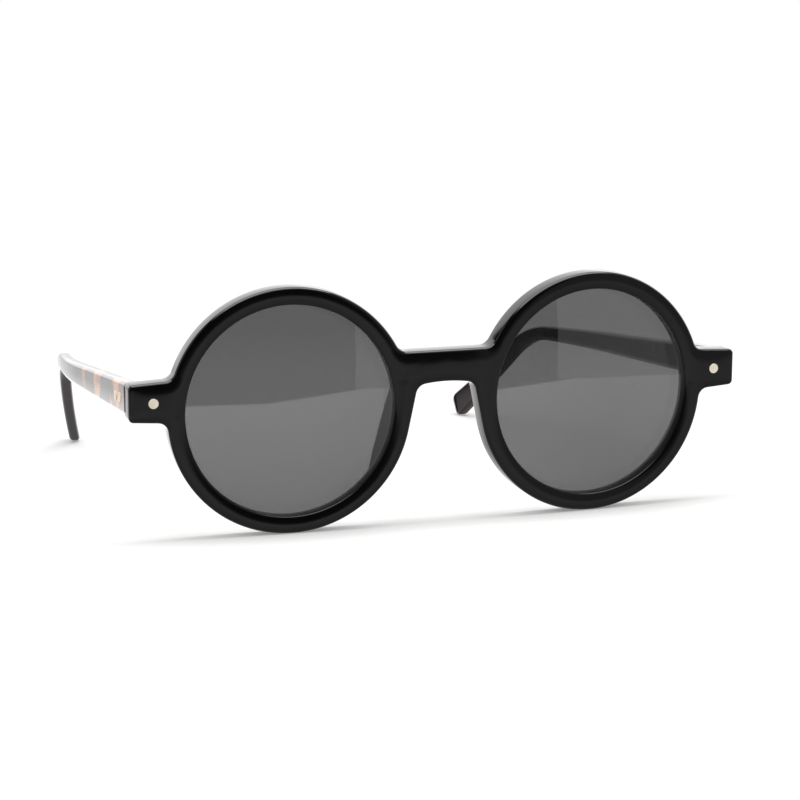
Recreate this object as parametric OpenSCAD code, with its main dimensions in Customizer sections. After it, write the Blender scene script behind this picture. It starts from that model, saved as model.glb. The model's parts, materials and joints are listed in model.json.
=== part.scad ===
// Round sunglasses: a one-piece acetate front with two round rims, tinted lenses held in V grooves,
// five-barrel hinges and two ear-curved temples with wire cores.
// Millimetres. The front faces -Y, +Z is up, and left (-X) and right (+X) are as seen from the front.
// The glasses stand open on the rims and the temple tips, the origin under the middle of their box.

/* [Lenses] */
// Diameter of each lens at the tip of its edge bevel
lens_d = 47.8; // [42:0.2:54]
// Gap between the two lenses across the nose
lens_gap = 23.2; // [18:0.2:27]
// Thickness of the lens
lens_t = 1.8; // [1.5:0.1:2.2]
// Radius of the lens's front curve
lens_curve_r = 132; // [100:2:260]
// Height of the bevel that stands in the groove
lens_bevel = 0.45; // [0.35:0.05:0.6]
// Play round the bevel in its groove
lens_play = 0.06; // [0.04:0.01:0.1]
// Acetate left behind the lens at its edge
back_lip = 0.65; // [0.6:0.05:1.2]

/* [Front] */
// Width of the rim round each lens
rim_w = 3.9; // [3.3:0.05:4.6]
// Thickness of the front from face to back
front_t = 5.1; // [4.8:0.1:6]
// Rounding of the outer edges
edge_r = 0.7; // [0.4:0.05:0.9]
// Rounding of the edges of the lens openings
opening_edge_r = 0.4; // [0.25:0.05:0.5]
// Rise of the crowned front face
face_crown = 0.22; // [0.1:0.02:0.35]
// Backward wrap of each half
wrap_angle = 2.8; // [1.5:0.1:4]
// Forward lean of the front's top
lean_angle = 2.7; // [1:0.1:4]

/* [Bridge] */
// Top edge of the bridge above the lens centres
bridge_top = 11.9; // [10:0.1:14]
// Lower edge of the bridge beside the nose above the lens centres
bridge_low = 4.45; // [3.6:0.05:5]
// Fillet from the bridge's top edge to the rim
bridge_fillet_r = 3; // [2:0.1:4]
// Corner between the bridge's lower edge and the nose side
nose_corner_r = 2.5; // [1.8:0.1:3]
// Where the nose side leaves the round rim, below the lens centre
nose_side_angle = 12; // [8:1:16]
// Slope of the lower edge where its arch starts
arch_angle = 8; // [4:1:11]
// Where the wrap bend starts, from the middle
bend_from = 5.5; // [4:0.1:6]
// Where the wrap bend ends, from the middle
bend_to = 10.8; // [9.5:0.1:11]

/* [End pieces] */
// How far each end piece reaches outside the round rim
end_length = 8.42; // [7.6:0.02:11]
// Top edge at the outer end above the lens centres
end_top = 7.55; // [6.5:0.05:9]
// Bottom edge at the outer end, against the lens centres
end_low = -0.8; // [-1.6:0.05:0]
// Slope of the top and bottom edges, opening towards the rim
end_flare_angle = 3; // [1:0.5:5]
// Corner radius seen from the front
end_corner_r = 1.1; // [0.8:0.05:1.6]
// Fillet from the end piece to the rim
end_fillet_r = 2.3; // [1.5:0.1:3]

/* [Nose pads] */
// Height of the pad behind the rim
pad_h = 4.6; // [3:0.1:6]
// Length of the pad along the rim
pad_length = 25.2; // [18:0.2:27]
// Middle of the pad on the rim, below the lens centre
pad_angle = 15; // [11:1:20]
// Width of the pad where it joins the rim
pad_w = 2.4; // [1.8:0.1:2.5]
// Slope of the side that lies on the nose
pad_splay_angle = 24; // [15:1:30]

/* [Hinges] */
// Height of the hinge's middle above the lens centres
hinge_z = 3.55; // [3:0.05:4.2]
// Distance of the pin from the outer end of the front
pin_inset = 5.3; // [5.2:0.05:5.7]
// Outer radius of the barrels
barrel_r = 1.3; // [1.15:0.05:1.4]
// Height of one barrel
barrel_h = 1.05; // [0.9:0.05:1.1]
// Gap between neighbouring barrels
barrel_gap = 0.06; // [0.04:0.01:0.08]
// Radius of the screw's shank
screw_r = 0.6; // [0.5:0.05:0.7]
// Radius of the screw's head
screw_head_r = 1.05; // [0.95:0.05:1.15]
// Height of the screw's head
screw_head_h = 0.55; // [0.4:0.05:0.7]
// Radial play of screws and rivets in their bores
bore_play = 0.03; // [0.02:0.01:0.06]
// Thickness of the leaf plates
plate_t = 0.8; // [0.6:0.05:0.9]
// Length of the temple leaf's plate
temple_plate_l = 12.5; // [11.5:0.1:14]
// Width of the front leaf's plate
front_plate_w = 6; // [5:0.1:6.6]
// Gap where the temple meets the end piece
joint_gap = 0.15; // [0.1:0.01:0.2]

/* [Rivets] */
// Radius of a rivet's head
rivet_head_r = 1.1; // [1:0.02:1.3]
// How far a head stands proud of the acetate
rivet_proud = 0.1; // [0.05:0.01:0.2]
// How deep a head is sunk into the acetate
rivet_sunk = 0.35; // [0.3:0.01:0.45]
// Radius of a rivet's shank
rivet_r = 0.6; // [0.5:0.02:0.7]
// Height of the front rivet above the lens centres
front_rivet_z = 3.4; // [2.6:0.05:4.4]
// Distance of the first temple rivet from the joint
temple_rivet_from = 5; // [4.2:0.1:5.2]
// Distance between the two temple rivets
temple_rivet_step = 4.3; // [3.2:0.1:4.5]

/* [Temples] */
// Straight run from the joint to the ear bend
temple_run = 90.8; // [84:0.2:96]
// Length behind the ear bend
ear_length = 32.2; // [28:0.2:36]
// Turn of the ear bend
ear_angle = 34.5; // [28:0.5:40]
// Radius of the ear bend
ear_bend_r = 30; // [22:1:38]
// Height at the joint
temple_h = 7.4; // [7:0.05:8]
// Height at the ear bend
ear_h = 3.8; // [3.5:0.05:4.8]
// Height of the tip
tip_h = 7.2; // [5.5:0.1:8]
// Length of the rounded end of the tip
tip_round = 3; // [2:0.1:4]
// Thickness at the joint
temple_t = 3.9; // [3.6:0.05:4.3]
// Thickness at the tip
tip_t = 2.9; // [2.6:0.05:3.4]
// Rounding of the long edges
temple_edge_r = 1.1; // [0.7:0.05:1.3]
// How far the temple's outer face stands outside the end piece
temple_step = 0.12; // [0:0.02:0.4]
// Inward turn of the straight run
toe_angle = 1.25; // [0.5:0.05:2]
// Straight part of the run before the temple curves inwards
side_run = 54; // [46:1:62]
// Radius of the inward curve, seen from above
side_curve_r = 250; // [230:2:300]
// Radius of the wire core
core_r = 0.7; // [0.5:0.05:0.8]
// Play round the wire core
core_play = 0.08; // [0.05:0.01:0.12]
// Acetate left at each end of the wire core
core_end = 9; // [7:0.5:11]

/* [Hidden] */
$fn = 96;

black_acetate = "#0c0c0d";
tortoise_acetate = "#5a341c";
smoke_lens = [0.2, 0.2, 0.21, 0.75];
champagne_metal = "#d0c8b4";
steel_metal = "#b9b7b2";

// Lens and rim radii in the plane of one rim
lens_r = lens_d / 2;
opening_r = lens_r - lens_bevel;
rim_r = opening_r + rim_w;
// Half the distance between the lens centres
half_spacing = (lens_gap + lens_d) / 2;
// Depth of the middle of the lens's edge behind the front face
lens_edge_d = front_t - back_lip - lens_t / 2;
// Radius of the wrap bend
bend_r = (bend_to - bend_from) * 180 / PI / wrap_angle;
// Height of the lens centres when the lowest edge of each rim stands on the table
foot_back = bend_r * (1 - cos(wrap_angle)) + (half_spacing - bend_to) * sin(wrap_angle)
    + face_crown + edge_r;
centre_h = rim_r * cos(lean_angle) - foot_back * sin(lean_angle);

// A point of the front given flat as [x, depth, z], bent to the wrap and leant, for x >= 0
function bent(x, d, z) =
    let (a = wrap_angle * max(0, min(1, (x - bend_from) / (bend_to - bend_from))),
         past = max(0, x - bend_to),
         bx = min(x, bend_from) + bend_r * sin(a) + past * cos(a) - d * sin(a),
         by = bend_r * (1 - cos(a)) + past * sin(a) + d * cos(a))
    [bx, by * cos(lean_angle) - z * sin(lean_angle),
     centre_h + by * sin(lean_angle) + z * cos(lean_angle)];

// Outer ends, in the flat front and in the bent one
end_x = half_spacing + rim_r + end_length;
half_width = bend_from + bend_r * sin(wrap_angle) + (end_x - bend_to) * cos(wrap_angle);
// Pin of the right hinge, upright behind the end piece
pin_at = bent(end_x - pin_inset, front_t + joint_gap + barrel_r, hinge_z);
// Middle of the joint between end piece and temple
temple_x = half_width + temple_step - temple_t / 2;
joint_at = bent(end_x - temple_t / 2, front_t, hinge_z);
temple_z = pin_at[2];
joint_y = joint_at[1] + joint_gap;
pin_h = 5 * barrel_h + 4 * barrel_gap;

// Side view of the temple's centre line
ear_arc = ear_bend_r * ear_angle * PI / 180;
temple_length = temple_run + ear_arc + ear_length;
// The drop of the run that brings the tip's rounded end down onto the table
tip_from = ear_length - tip_round;
drop_reach = temple_run + ear_bend_r * sin(ear_angle) + tip_from * cos(ear_angle);
drop_depth = ear_bend_r * (1 - cos(ear_angle)) + tip_from * sin(ear_angle)
    + norm([tip_round * sin(ear_angle), tip_h / 2 * cos(ear_angle)]);
drop_angle = asin(temple_z / norm([drop_reach, drop_depth])) - atan2(drop_depth, drop_reach);

function path_angle(s) = drop_angle + ear_angle * max(0, min(1, (s - temple_run) / ear_arc));
function path_v(s) = let (a = path_angle(s))
    min(s, temple_run) * cos(drop_angle) + ear_bend_r * (sin(a) - sin(drop_angle))
    + max(0, s - temple_run - ear_arc) * cos(drop_angle + ear_angle);
function path_z(s) = let (a = path_angle(s))
    -min(s, temple_run) * sin(drop_angle) - ear_bend_r * (cos(drop_angle) - cos(a))
    - max(0, s - temple_run - ear_arc) * sin(drop_angle + ear_angle);
// How far the centre line has come inwards at a distance v behind the joint
function inward(v) = v * tan(toe_angle) + pow(max(0, v - side_run), 2) / (2 * side_curve_r);

// Depth and height of the middle of the whole, for the origin
tip_angle = drop_angle + ear_angle;
tip_back = joint_y + path_v(temple_run + ear_arc + tip_from)
    + norm([tip_round * cos(tip_angle), tip_h / 2 * sin(tip_angle)]);
front_first = bent(0, face_crown / 2, bridge_top - edge_r)[1];
middle_y = (tip_back + front_first) / 2;

function mix(a, b, t) = a + (b - a) * t;
// Height and thickness of the temple along its centre line, and how its height falls and grows
narrowing = 1.25;
flare = 1.6;
function temple_height(s) = s < temple_run
    ? mix(temple_h, ear_h, pow(s / temple_run, narrowing))
    : mix(ear_h, tip_h, pow((s - temple_run) / (temple_length - temple_run), flare));
function temple_thickness(s) = mix(temple_t, tip_t, s / temple_length);
// Shrinks the section over the rounded end of the tip
function tip_taper(s) = let (t = max(0, (s - temple_length + tip_round) / tip_round))
    pow(max(0, 1 - t * t), 0.5);

// A ring of [across, up] points: a rectangle with rounded corners
function round_rect(w, h, r, steps) =
    let (rr = min(r, 0.49 * w, 0.49 * h))
    [for (q = [0:3], i = [0:steps])
        let (a = 90 * q + 90 * i / steps, sx = (q == 0 || q == 3) ? 1 : -1, sy = q < 2 ? 1 : -1)
        [sx * (w / 2 - rr) + rr * cos(a), sy * (h / 2 - rr) + rr * sin(a)]];

// A closed skin over rings of equally many points, each with a flat end
module skin(rings) {
    n = len(rings[0]);
    m = len(rings);
    polyhedron(
        points = [for (ring = rings) each ring],
        faces = concat(
            [for (k = [0:m - 2], i = [0:n - 1]) let (j = (i + 1) % n)
                each [[k * n + i, k * n + j, (k + 1) * n + j],
                      [k * n + i, (k + 1) * n + j, (k + 1) * n + i]]],
            [[for (i = [n - 1:-1:0]) i]],
            [[for (i = [0:n - 1]) (m - 1) * n + i]]),
        convexity = 4);
}

// Width of the webs that carry the barrels, how far a plate reaches past the pin's ends,
// the play round a plate in its seat, and how far a cut runs past a face
web_w = 1.7;
plate_margin = 0.15;
seat_play = 0.04;
overcut = 1;

// Shows its children on the right, or mirrored on the left, with the origin under the middle
module on_side(side) {
    translate([0, -middle_y, 0])
        if (side > 0) children();
        else mirror([1, 0, 0]) children();
}

// The flat frame of the right half of the front beyond the wrap bend: x, depth and height
module on_front() {
    translate([0, 0, centre_h])
        rotate([lean_angle, 0, 0])
            translate([bend_from + bend_r * sin(wrap_angle), bend_r * (1 - cos(wrap_angle)), 0])
                rotate([0, 0, wrap_angle])
                    translate([-bend_to, 0, 0])
                        children();
}

// Outline of the right half of the front, as [x, z, inward normal x, inward normal z]. An arc
// leaves out its ends where skip is 1, because its neighbours hold them.
function arc(c, r, from, to, steps, hollow, skip) =
    let (k = hollow ? 1 : -1)
    [for (i = [skip:steps - skip])
        let (a = mix(from, to, i / steps))
        [c[0] + r * cos(a), c[1] + r * sin(a), k * cos(a), k * sin(a)]];
function line(from, to, steps) =
    let (n = [to[1] - from[1], from[0] - to[0]] / norm(to - from))
    [for (i = [1:steps - 1])
        let (p = mix(from, to, i / steps))
        [p[0], p[1], n[0], n[1]]];

rim_c = [half_spacing, 0];
// Centre of a fillet of radius r that lies on a line and on the outside of the rim
function fillet_at(p, dir, up, r) =
    let (q = p + r * up - rim_c, b = q * dir)
    p + r * up - dir * (b + sqrt(b * b - q * q + pow(rim_r + r, 2)));
function angle_of(c) = atan2(c[1] - rim_c[1], c[0] - rim_c[0]);

bridge_f = fillet_at([0, bridge_top], [1, 0], [0, 1], bridge_fillet_r);
top_f = rim_side_fillet(end_top, 1);
low_f = rim_side_fillet(end_low, -1);
function rim_side_fillet(z, sign) =
    let (q = [end_x, z] + end_fillet_r * [sin(end_flare_angle), sign * cos(end_flare_angle)] - rim_c,
         dir = [cos(end_flare_angle), -sign * sin(end_flare_angle)],
         b = q * dir)
    q + rim_c - dir * (b - sqrt(b * b - q * q + pow(rim_r + end_fillet_r, 2)));

// The nose side leaves the rim along its tangent and turns into the bridge's arched lower edge
nose_from = rim_c - rim_r * [cos(nose_side_angle), sin(nose_side_angle)];
corner_z = bridge_low - nose_corner_r * cos(arch_angle);
corner_x = nose_from[0] - (corner_z - nose_from[1]) * tan(nose_side_angle)
    - nose_corner_r / cos(nose_side_angle);
corner_c = [corner_x, corner_z];
nose_to = corner_c + nose_corner_r * [cos(nose_side_angle), sin(nose_side_angle)];
arch_x = corner_x + nose_corner_r * sin(arch_angle);
arch_h = arch_x * tan(arch_angle) / 2;

// Arc steps, fine enough to keep the lens free in its groove
rim_steps = 24;
low_steps = 30;
fillet_steps = 3;
straight_steps = 4;
outer_top = [end_x - end_corner_r, end_top - end_corner_r];
outer_low = [end_x - end_corner_r, end_low + end_corner_r];
outline = concat(
    [for (i = [0:straight_steps - 1]) [bridge_f[0] * i / straight_steps, bridge_top, 0, -1]],
    arc(bridge_f, bridge_fillet_r, 270, 180 + angle_of(bridge_f), fillet_steps + 1, true, 0),
    arc(rim_c, rim_r, angle_of(bridge_f), angle_of(top_f), rim_steps, false, 1),
    arc(top_f, end_fillet_r, 180 + angle_of(top_f), 270 - end_flare_angle, fillet_steps, true, 0),
    arc(outer_top, end_corner_r, 90 - end_flare_angle, 0, fillet_steps, false, 0),
    line(outer_top + [end_corner_r, 0], outer_low + [end_corner_r, 0], straight_steps / 2),
    arc(outer_low, end_corner_r, 0, end_flare_angle - 90, fillet_steps, false, 0),
    arc(low_f, end_fillet_r, 90 + end_flare_angle, 180 + angle_of(low_f), fillet_steps, true, 0),
    arc(rim_c, rim_r, angle_of(low_f), nose_side_angle - 180, low_steps, false, 1),
    line(nose_from, nose_to, straight_steps),
    arc(corner_c, nose_corner_r, nose_side_angle, 90 - arch_angle, fillet_steps + 1, true, 0),
    [for (i = [1:straight_steps])
        let (x = arch_x * (1 - i / straight_steps))
        [x, bridge_low + arch_h * (1 - pow(x / arch_x, 2)), 0, 1]],
    // The cut on the middle plane, where the other half joins
    [for (t = [1 / 3, 2 / 3]) [0, mix(bridge_low + arch_h, bridge_top, t), 0, 1 - 2 * t]]);

// A point of the outline moved inwards, and its partner on a circle round the lens's axis
function inset(p, by) = [p[0] + by * p[2], p[1] + by * p[3]];
function round_point(p, r) =
    let (u = [p[0], p[1]] - rim_c)
    rim_c + u * r / norm(u);

// The section of the front, from the outer edge over the face, through the opening and back.
// Each step is [inset of the outline, radius of the circle, share of the circle, depth]. The short
// normals of the cut lift the middle of the bridge to the crown.
round_share = 0.3;
groove_half = lens_t / 2 + 2.5 * lens_play;
face_in = opening_r + opening_edge_r;
opening_soft = opening_r + round_share * opening_edge_r;
section = [
    [0, 0, 0, front_t - edge_r],
    [0, 0, 0, face_crown + edge_r],
    [round_share * edge_r, 0, 0, face_crown + round_share * edge_r],
    [edge_r, 0, 0, 0.5 * face_crown],
    [edge_r, face_in, 0.5, 0],
    [0, face_in, 1, 0.7 * face_crown],
    [0, opening_soft, 1, face_crown + round_share * opening_edge_r],
    [0, opening_r, 1, face_crown + opening_edge_r],
    [0, opening_r, 1, lens_edge_d - groove_half],
    [0, lens_r + lens_play, 1, lens_edge_d],
    [0, opening_r, 1, lens_edge_d + groove_half],
    [0, opening_r, 1, front_t - opening_edge_r],
    [0, opening_soft, 1, front_t - round_share * opening_edge_r],
    [0, face_in, 1, front_t],
    [edge_r, 0, 0, front_t],
    [round_share * edge_r, 0, 0, front_t - round_share * edge_r]];

module front_half() {
    n = len(outline);
    m = len(section);
    polyhedron(
        points = [for (step = section, p = outline)
            let (q = mix(inset(p, step[0]), round_point(p, step[1]), step[2]),
                 on_cut = step[2] == 0 && step[3] < front_t / 2 ? norm([p[2], p[3]]) : 1)
            bent(q[0], step[3] * on_cut, q[1])],
        faces = [for (k = [0:m - 1], i = [0:n - 1])
            let (a = k * n + i, b = k * n + (i + 1) % n, up = ((k + 1) % m - k) * n)
            each [[a, b, b + up], [a, b + up, a + up]]],
        convexity = 6);
}

// Moves to a rivet or bore in the end piece, with Z along the depth of the front
module at_rivet() {
    on_front()
        translate([end_x - pin_inset, 0, front_rivet_z])
            rotate([-90, 0, 0])
                children();
}

module front_leaf_plate(play) {
    plate_h = pin_h + 2 * plate_margin;
    on_front()
        translate([end_x - pin_inset - front_plate_w / 2 - play, front_t - plate_t - play,
                   hinge_z - plate_h / 2 - play])
            cube([front_plate_w + 2 * play, plate_t + play + sign(play) * overcut, plate_h + 2 * play]);
}

module front_frame() {
    color(black_acetate)
        translate([0, -middle_y, 0])
            difference() {
                union() {
                    front_half();
                    mirror([1, 0, 0]) front_half();
                }
                for (side = [0, 1]) mirror([side, 0, 0]) {
                    front_leaf_plate(seat_play);
                    at_rivet() {
                        translate([0, 0, -overcut])
                            cylinder(r = rivet_r + bore_play, h = front_t + 2 * overcut);
                        translate([0, 0, -overcut])
                            cylinder(r = rivet_head_r + bore_play, h = overcut + rivet_sunk + bore_play);
                    }
                }
            }
}

module lens() {
    face_d = lens_edge_d - lens_t / 2;
    centre_d = face_d + sqrt(pow(lens_curve_r, 2) - pow(opening_r, 2));
    rim_seat = opening_r - lens_play;
    color(smoke_lens)
        on_front() translate([half_spacing, 0, 0]) rotate([-90, 0, 0])
            rotate_extrude($fn = 180)
                intersection() {
                    difference() {
                        translate([0, centre_d]) circle(lens_curve_r, $fn = 1440);
                        translate([0, centre_d]) circle(lens_curve_r - lens_t, $fn = 1440);
                    }
                    polygon([[0, face_d - lens_t - 3], [rim_seat, face_d - lens_t - 3], [rim_seat, face_d],
                             [lens_r, lens_edge_d], [rim_seat, face_d + lens_t],
                             [rim_seat, face_d + lens_t + 1], [0, face_d + lens_t + 1]]);
                }
}

// One section of the nose pad, a leaning half ellipse that dies out towards the pad's ends and
// stands clear of the wrap bend by the play of a seat
function pad_ring(t) =
    let (a = 180 + pad_angle + t * pad_length / 2 / rim_r * 180 / PI,
         h = max(0.08, pad_h * pow(1 - t * t, 0.75)),
         mid_r = opening_r + opening_edge_r + pad_w / 2 + 0.05)
    [for (f = [0:20:180])
        let (r = mid_r + pad_w / 2 * cos(f) - h * sin(f) * tan(pad_splay_angle))
        [half_spacing + r * cos(a), front_t + seat_play + h * sin(f), r * sin(a)]];

module nose_pad() {
    color(black_acetate)
        on_front()
            skin([for (i = [-10:10]) pad_ring(sin(9 * i))]);
}

module front_rivet() {
    color(champagne_metal)
        at_rivet() {
            translate([0, 0, -rivet_proud]) cylinder(r = rivet_head_r, h = rivet_proud + rivet_sunk);
            cylinder(r = rivet_r, h = front_t - plate_t / 2);
        }
}

// Moves to every second barrel round the upright pin, starting from one of the two lowest
module at_barrels(from) {
    for (k = [from:2:4])
        translate(pin_at + [0, 0, k * (barrel_h + barrel_gap) - pin_h / 2])
            children();
}
module screw_bore() {
    translate(pin_at - [0, 0, pin_h]) cylinder(r = screw_r + bore_play, h = 2 * pin_h);
}

module hinge_front_leaf() {
    web = barrel_r + joint_gap + plate_t / 2;
    color(steel_metal)
        difference() {
            union() {
                front_leaf_plate(0);
                at_barrels(0) {
                    cylinder(r = barrel_r, h = barrel_h);
                    translate([-web_w / 2, -web, 0]) cube([web_w, web, barrel_h]);
                }
            }
            screw_bore();
            at_rivet() cylinder(r = rivet_r + bore_play, h = front_t - plate_t / 2 + bore_play);
        }
}

module hinge_screw() {
    slot_w = screw_head_r / 3;
    color(steel_metal)
        translate(pin_at)
            difference() {
                union() {
                    translate([0, 0, -pin_h / 2]) cylinder(r = screw_r, h = pin_h + screw_head_h / 2);
                    translate([0, 0, pin_h / 2 + bore_play])
                        cylinder(r = screw_head_r, h = screw_head_h);
                }
                translate([-slot_w / 2, -2 * screw_head_r, pin_h / 2 + screw_head_h / 2])
                    cube([slot_w, 4 * screw_head_r, screw_head_h]);
            }
}

// The frame of the temple at the joint: X outwards, Y along the temple, Z up
module on_temple() {
    translate([temple_x, joint_y, temple_z])
        rotate([-drop_angle, 0, toe_angle])
            children();
}

// The temple leaf's plate starts just before the webs of its barrels, and its seat opens through
// the end of the temple
temple_plate_h = pin_h - 2 * plate_margin;
plate_from = pin_at[1] - web_w / 2 - plate_margin - joint_y;
module temple_leaf_plate(play) {
    from = play > 0 ? -overcut : plate_from;
    on_temple()
        translate([-temple_t / 2 - sign(play) * overcut, from, -temple_plate_h / 2 - play])
            cube([plate_t + play + sign(play) * overcut, plate_from + temple_plate_l + play - from,
                  temple_plate_h + 2 * play]);
}

// Moves to each temple rivet, with Z from the outer face inwards
module at_temple_rivets() {
    for (i = [0, 1])
        on_temple()
            translate([temple_t / 2, temple_rivet_from + i * temple_rivet_step, 0])
                rotate([0, -90, 0])
                    children();
}

module hinge_temple_leaf() {
    web = temple_x - temple_t / 2 + plate_t / 2 - pin_at[0];
    color(steel_metal)
        difference() {
            union() {
                temple_leaf_plate(0);
                at_barrels(1) {
                    cylinder(r = barrel_r, h = barrel_h);
                    translate([0, -web_w / 2, 0]) cube([web, web_w, barrel_h]);
                }
            }
            screw_bore();
            at_temple_rivets() cylinder(r = rivet_r + bore_play, h = 2 * temple_t);
        }
}

// A ring of the temple or of its core, square to the centre line at the distance s along it
function path_ring(s, shape) =
    let (a = path_angle(s), v = path_v(s), x = temple_x - inward(v))
    [for (p = shape)
        [x + p[0], joint_y + v + p[1] * sin(a), temple_z + path_z(s) + p[1] * cos(a)]];
// The end of the temple lies parallel to the back of the end piece
function joint_ring() =
    [for (p = round_rect(temple_t, temple_h, temple_edge_r, 3))
        [temple_x + p[0],
         joint_y + (temple_x + p[0] - joint_at[0]) * tan(wrap_angle)
             - (temple_z + p[1] - joint_at[2]) * tan(lean_angle),
         temple_z + p[1]]];
function temple_ring(s) =
    let (k = tip_taper(s))
    path_ring(s, round_rect(k * temple_thickness(s), k * temple_height(s), temple_edge_r, 3));

run_steps = 15;
bend_steps = 6;
ear_steps = 7;
tip_steps = 5;
stations = concat(
    [1],
    [for (i = [1:run_steps]) temple_run * i / run_steps],
    [for (i = [1:bend_steps]) temple_run + ear_arc * i / bend_steps],
    [for (i = [1:ear_steps])
        temple_run + ear_arc + (ear_length - tip_round) * i / ear_steps],
    [for (i = [1:tip_steps]) temple_length - tip_round * (1 - sin(80 * i / tip_steps))]);

module core_skin(r, reach) {
    from = temple_plate_l + core_end;
    to = temple_length - core_end;
    steps = 18;
    skin([for (i = [0:steps])
        path_ring(mix(from - reach, to + reach, i / steps),
                  [for (q = [0:45:315]) [r * cos(q), r * sin(q)]])]);
}

module temple() {
    color(tortoise_acetate)
        difference() {
            skin(concat([joint_ring()], [for (s = stations) temple_ring(s)]));
            core_skin(core_r + core_play, core_play);
            temple_leaf_plate(seat_play);
            at_temple_rivets() {
                cylinder(r = rivet_r + bore_play, h = 2 * temple_t);
                translate([0, 0, -overcut])
                    cylinder(r = rivet_head_r + bore_play, h = overcut + rivet_sunk + bore_play);
            }
        }
}

module temple_core() {
    color(steel_metal) core_skin(core_r, 0);
}

module temple_rivets() {
    color(champagne_metal)
        at_temple_rivets() {
            translate([0, 0, -rivet_proud]) cylinder(r = rivet_head_r, h = rivet_proud + rivet_sunk);
            cylinder(r = rivet_r, h = temple_t);
        }
}

front_frame();
on_side(-1) lens();  // lens_left
on_side(1) lens();  // lens_right
on_side(-1) nose_pad();  // nose_pad_left
on_side(1) nose_pad();  // nose_pad_right
on_side(-1) front_rivet();  // front_rivet_left
on_side(1) front_rivet();  // front_rivet_right
on_side(-1) hinge_front_leaf();  // hinge_front_leaf_left
on_side(1) hinge_front_leaf();  // hinge_front_leaf_right
on_side(-1) hinge_screw();  // hinge_screw_left
on_side(1) hinge_screw();  // hinge_screw_right
on_side(-1) hinge_temple_leaf();  // hinge_temple_leaf_left
on_side(1) hinge_temple_leaf();  // hinge_temple_leaf_right
on_side(-1) temple();  // temple_left
on_side(1) temple();  // temple_right
on_side(-1) temple_core();  // temple_core_left
on_side(1) temple_core();  // temple_core_right
on_side(-1) temple_rivets();  // temple_rivets_left
on_side(1) temple_rivets();  // temple_rivets_right
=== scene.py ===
import json
import math

import bmesh
import bpy
import numpy as np
from bpy.props import FloatProperty, FloatVectorProperty, PointerProperty
from bpy.types import Operator, Panel, PropertyGroup
from mathutils import Matrix, Vector


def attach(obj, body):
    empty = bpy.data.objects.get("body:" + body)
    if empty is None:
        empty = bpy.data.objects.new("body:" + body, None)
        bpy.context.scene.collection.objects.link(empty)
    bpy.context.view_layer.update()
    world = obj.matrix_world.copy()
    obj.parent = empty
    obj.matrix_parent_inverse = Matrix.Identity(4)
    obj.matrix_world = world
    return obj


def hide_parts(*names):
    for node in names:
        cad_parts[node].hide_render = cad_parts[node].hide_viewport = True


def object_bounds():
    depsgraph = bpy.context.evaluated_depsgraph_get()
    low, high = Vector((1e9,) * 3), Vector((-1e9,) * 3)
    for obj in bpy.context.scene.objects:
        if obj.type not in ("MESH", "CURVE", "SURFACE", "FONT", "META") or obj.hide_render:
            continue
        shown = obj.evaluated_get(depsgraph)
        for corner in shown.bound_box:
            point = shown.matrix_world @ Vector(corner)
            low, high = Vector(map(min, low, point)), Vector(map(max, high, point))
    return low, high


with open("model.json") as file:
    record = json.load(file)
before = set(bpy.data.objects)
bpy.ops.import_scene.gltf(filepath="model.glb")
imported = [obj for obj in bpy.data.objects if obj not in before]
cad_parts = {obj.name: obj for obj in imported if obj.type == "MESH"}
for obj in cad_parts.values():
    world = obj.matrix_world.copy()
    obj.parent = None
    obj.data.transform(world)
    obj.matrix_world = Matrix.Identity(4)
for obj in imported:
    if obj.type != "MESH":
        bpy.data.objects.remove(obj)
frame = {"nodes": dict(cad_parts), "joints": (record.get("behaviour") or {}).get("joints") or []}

bl_info = {
    "name": "Round acetate sunglasses",
    "version": (1, 0, 0),
    "blender": (4, 5, 0),
    "location": "View3D > Sidebar > Sunglasses",
    "description": "Builds the acetate front, lenses, temples and fittings of round sunglasses on their CAD frame",
    "category": "Add Mesh",
}

CAD_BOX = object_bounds()
SIDES = {"left": -1, "right": 1}
PINS = {joint["child"]: Vector(joint["pos_m"]) for joint in frame["joints"]}
MM = 0.001
# Points closer than this are one
TINY = 1e-7
# The angle in degrees from which an edge shows as an edge
SHARP = 35.0
# Steps of the outline along the end of the end piece
END_STEPS = 8
# Where the flat part of the front's face starts, in from its outline
FLAT_FROM = 1.0 * MM
# How far the acetate closes on the edge of the lens, so that no slit shows
LENS_BITE = 0.05 * MM
# The least gap between two pieces, and the least height of one
HAIR = 0.05 * MM


def linear(code):
    """The linear colour of an sRGB hex value."""
    parts = [int(code[i : i + 2], 16) / 255 for i in (1, 3, 5)]
    return tuple(c / 12.92 if c <= 0.04045 else ((c + 0.055) / 1.055) ** 2.4 for c in parts) + (1.0,)


def length(name, millimetres, description):
    return FloatProperty(
        name=name, description=description, default=millimetres * MM, unit="LENGTH", precision=5, step=0.01
    )


def angle(name, degrees, description):
    return FloatProperty(name=name, description=description, default=math.radians(degrees), subtype="ANGLE")


def share(name, value, description):
    return FloatProperty(name=name, description=description, default=value, min=0.0, max=10.0)


def colour(name, code, description):
    return FloatVectorProperty(
        name=name, description=description, default=linear(code), size=4, subtype="COLOR", min=0.0, max=1.0
    )


def spot(name, place, description):
    return FloatVectorProperty(
        name=name, description=description, default=place, size=3, subtype="TRANSLATION", unit="LENGTH"
    )


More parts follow.
